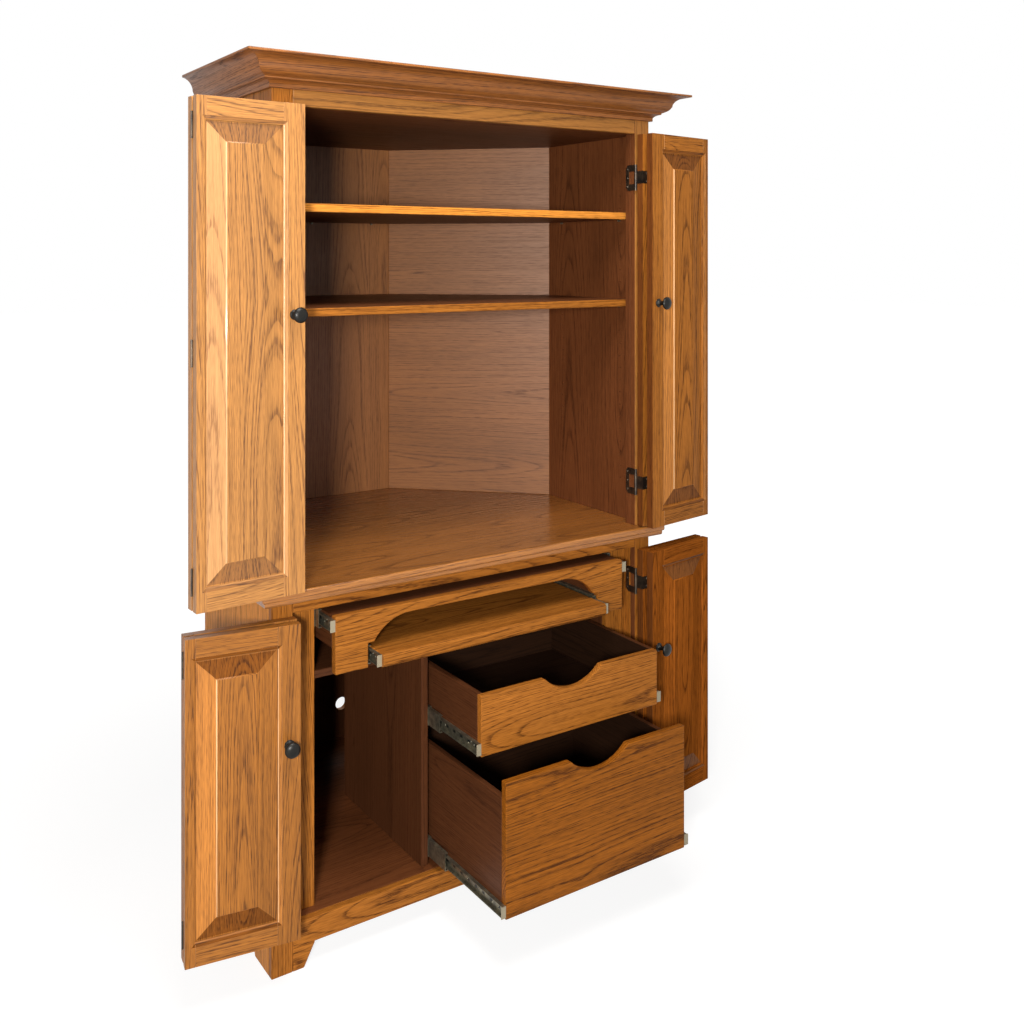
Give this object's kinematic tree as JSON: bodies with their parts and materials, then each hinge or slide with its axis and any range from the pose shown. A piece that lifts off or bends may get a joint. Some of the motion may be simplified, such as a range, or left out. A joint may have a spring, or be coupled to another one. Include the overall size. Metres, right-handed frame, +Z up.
{
  "type": "corner computer armoire",
  "caption": "Oak corner armoire desk with open folding doors, shelves in the hutch, a keyboard pull-out, a tower bay and two drawers.",
  "frame": {"origin": "on the floor, under the middle of the whole piece with its doors open and its drawers and tray pulled out as in the picture", "axes": "+Z up, the front with the doors faces -Y, +X to the right as seen from the front"},
  "size_m": [1.4904, 1.109, 2.032],
  "materials": {
    "oak_outside": "satin stained oak",
    "oak_inside": "satin stained oak, darker",
    "dark_bronze": "satin dark bronze",
    "zinc_steel": "zinc plated, slightly yellow"
  },
  "bodies": {
    "cabinet": {"base_face_frame": "oak_outside", "base_sides": "oak_outside", "base_corner_walls": "oak_outside", "base_back": "oak_outside", "base_floor": "oak_inside", "base_feet": "oak_outside", "base_fillers": "oak_outside", "base_partitions": "oak_inside", "base_divider": "oak_inside", "bay_shelf": "oak_inside", "desk_top": "oak_outside", "hutch_face_frame": "oak_outside", "hutch_sides": "oak_inside", "hutch_corner_walls": "oak_inside", "hutch_back": "oak_inside", "hutch_ceiling": "oak_inside", "hutch_cleats": "oak_outside", "crown": "oak_outside", "upper_shelf": "oak_inside", "lower_shelf": "oak_inside", "shelf_pins": "zinc_steel", "frame_hinges": "dark_bronze", "cabinet_slides": "zinc_steel"},
    "upper_left_door_a": {"upper_left_leaf_a": "oak_outside", "upper_left_hinges_a": "dark_bronze"},
    "upper_left_door_b": {"upper_left_leaf_b": "oak_outside", "upper_left_hinges_b": "dark_bronze", "upper_left_knob": "dark_bronze"},
    "upper_right_door_a": {"upper_right_leaf_a": "oak_outside", "upper_right_hinges_a": "dark_bronze"},
    "upper_right_door_b": {"upper_right_leaf_b": "oak_outside", "upper_right_hinges_b": "dark_bronze", "upper_right_knob": "dark_bronze"},
    "lower_left_door_a": {"lower_left_leaf_a": "oak_outside", "lower_left_hinges_a": "dark_bronze"},
    "lower_left_door_b": {"lower_left_leaf_b": "oak_outside", "lower_left_hinges_b": "dark_bronze", "lower_left_knob": "dark_bronze"},
    "lower_right_door_a": {"lower_right_leaf_a": "oak_outside", "lower_right_hinges_a": "dark_bronze"},
    "lower_right_door_b": {"lower_right_leaf_b": "oak_outside", "lower_right_hinges_b": "dark_bronze", "lower_right_knob": "dark_bronze"},
    "pull_out": {"pull_out_apron": "oak_outside", "pull_out_frame": "oak_inside", "pull_out_members": "zinc_steel"},
    "tray": {"keyboard_tray": "oak_outside", "tray_members": "zinc_steel"},
    "upper_drawer": {"upper_drawer_front": "oak_outside", "upper_drawer_box": "oak_inside", "upper_drawer_members": "zinc_steel"},
    "file_drawer": {"file_drawer_front": "oak_outside", "file_drawer_box": "oak_inside", "file_drawer_members": "zinc_steel"},
    "pull_out_runner": {"pull_out_middle": "zinc_steel"},
    "tray_runner": {"tray_middle": "zinc_steel"},
    "upper_drawer_runner": {"upper_drawer_middle": "zinc_steel"},
    "file_drawer_runner": {"file_drawer_middle": "zinc_steel"}
  },
  "joints": [
    {"name": "upper_left_swing", "type": "hinge", "parent": "cabinet", "child": "upper_left_door_a", "pos_m": [-0.4945, -0.2755, 0], "axis": [0, 0, -1], "range_deg": [-176, 1]},
    {"name": "upper_left_fold", "type": "hinge", "parent": "upper_left_door_a", "child": "upper_left_door_b", "pos_m": [-0.73845, -0.32063, 0], "axis": [0, 0, 1], "range_deg": [-179.01, 1.03]},
    {"name": "upper_right_swing", "type": "hinge", "parent": "cabinet", "child": "upper_right_door_a", "pos_m": [0.4945, -0.2755, 0], "axis": [0, 0, 1], "range_deg": [-187, 2]},
    {"name": "upper_right_fold", "type": "hinge", "parent": "upper_right_door_a", "child": "upper_right_door_b", "pos_m": [0.74257, -0.27325, 0], "axis": [0, 0, -1], "range_deg": [-178.01, 1.92]},
    {"name": "lower_left_swing", "type": "hinge", "parent": "cabinet", "child": "lower_left_door_a", "pos_m": [-0.4945, -0.2755, 0], "axis": [0, 0, -1], "range_deg": [-112, 2]},
    {"name": "lower_left_fold", "type": "hinge", "parent": "lower_left_door_a", "child": "lower_left_door_b", "pos_m": [-0.74257, -0.27325, 0], "axis": [0, 0, 1], "range_deg": [-106.62, 1.92]},
    {"name": "lower_right_swing", "type": "hinge", "parent": "cabinet", "child": "lower_right_door_a", "pos_m": [0.4945, -0.2755, 0], "axis": [0, 0, 1], "range_deg": [-41, 2]},
    {"name": "lower_right_fold", "type": "hinge", "parent": "lower_right_door_a", "child": "lower_right_door_b", "pos_m": [0.74257, -0.27325, 0], "axis": [0, 0, -1], "range_deg": [-39.04, 1.92]},
    {"name": "pull_out_slide", "type": "slide", "parent": "cabinet", "child": "pull_out", "axis": [0, -1, 0], "range_m": [-0.085, 0.265]},
    {"name": "pull_out_runner_slide", "type": "slide", "parent": "cabinet", "child": "pull_out_runner", "axis": [0, -1, 0], "range_m": [-0.02125, 0.06625]},
    {"name": "tray_slide", "type": "slide", "parent": "pull_out", "child": "tray", "axis": [0, -1, 0], "range_m": [-0.05, 0.25]},
    {"name": "tray_runner_slide", "type": "slide", "parent": "pull_out", "child": "tray_runner", "axis": [0, -1, 0], "range_m": [-0.0125, 0.0625]},
    {"name": "upper_drawer_slide", "type": "slide", "parent": "cabinet", "child": "upper_drawer", "axis": [0, -1, 0], "range_m": [-0.223, 0.227]},
    {"name": "upper_drawer_runner_slide", "type": "slide", "parent": "cabinet", "child": "upper_drawer_runner", "axis": [0, -1, 0], "range_m": [-0.05575, 0.05675]},
    {"name": "file_drawer_slide", "type": "slide", "parent": "cabinet", "child": "file_drawer", "axis": [0, -1, 0], "range_m": [-0.324, 0.126]},
    {"name": "file_drawer_runner_slide", "type": "slide", "parent": "cabinet", "child": "file_drawer_runner", "axis": [0, -1, 0], "range_m": [-0.081, 0.0315]}
  ],
  "couplings": [
    {"joint": "upper_left_fold", "follows": "upper_left_swing", "ratio": 1.017},
    {"joint": "upper_right_fold", "follows": "upper_right_swing", "ratio": 0.95187},
    {"joint": "lower_left_fold", "follows": "lower_left_swing", "ratio": 0.95187},
    {"joint": "lower_right_fold", "follows": "lower_right_swing", "ratio": 0.95187},
    {"joint": "pull_out_runner_slide", "follows": "pull_out_slide", "ratio": 0.25},
    {"joint": "tray_runner_slide", "follows": "tray_slide", "ratio": 0.25},
    {"joint": "upper_drawer_runner_slide", "follows": "upper_drawer_slide", "ratio": 0.25},
    {"joint": "file_drawer_runner_slide", "follows": "file_drawer_slide", "ratio": 0.25}
  ]
}
